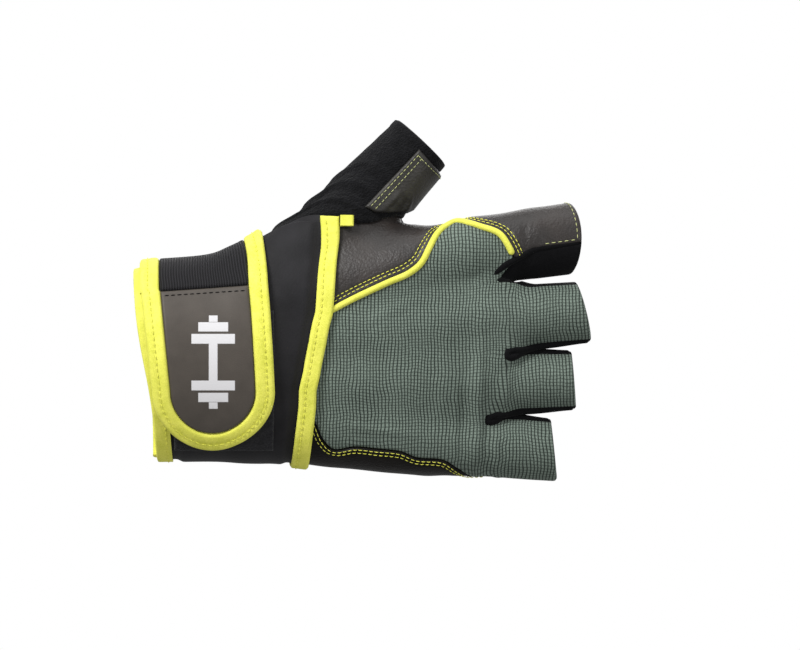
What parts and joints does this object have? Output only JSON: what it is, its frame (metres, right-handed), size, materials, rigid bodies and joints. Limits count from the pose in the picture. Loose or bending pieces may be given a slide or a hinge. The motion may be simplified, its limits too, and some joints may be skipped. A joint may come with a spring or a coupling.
{
  "type": "weightlifting glove",
  "caption": "Fingerless right-hand training glove with a mesh back, padded leather palm, terry thumb and a wrist strap with a hook and loop tab.",
  "frame": {"origin": "middle of the wrist opening, where the glove sits on the wrist", "axes": "+X towards the fingers, +Z towards the thumb side, -Y out of the back of the hand, +Y out of the palm"},
  "size_m": [0.1703, 0.0553, 0.1347],
  "materials": {
    "mesh_fabric": "matte woven stretch fabric with a grid",
    "leather": "soft satin",
    "black_fabric": "matte knit",
    "terry": "short looped pile",
    "bright_tape": "matte woven tape",
    "padded_fabric": "smooth padded knit",
    "elastic": "fine ribs",
    "smooth_synthetic": "smooth matte coated fabric",
    "loop_fabric": "fuzzy loops"
  },
  "bodies": {
    "root": {"back_panel": "mesh_fabric", "index_panel": "leather", "palm_panel": "leather", "fourchette_index_middle": "black_fabric", "fourchette_middle_ring": "black_fabric", "fourchette_ring_little": "black_fabric", "thumb_sleeve": "terry", "thumb_patch": "leather", "piping": "bright_tape", "cuff": "padded_fabric", "cuff_edge_binding": "bright_tape", "wrist_binding": "bright_tape", "binding_tail": "bright_tape", "loop_patch": "loop_fabric", "strap": "elastic", "strap_tab": "smooth_synthetic", "strap_binding": "bright_tape"}
  },
  "joints": []
}
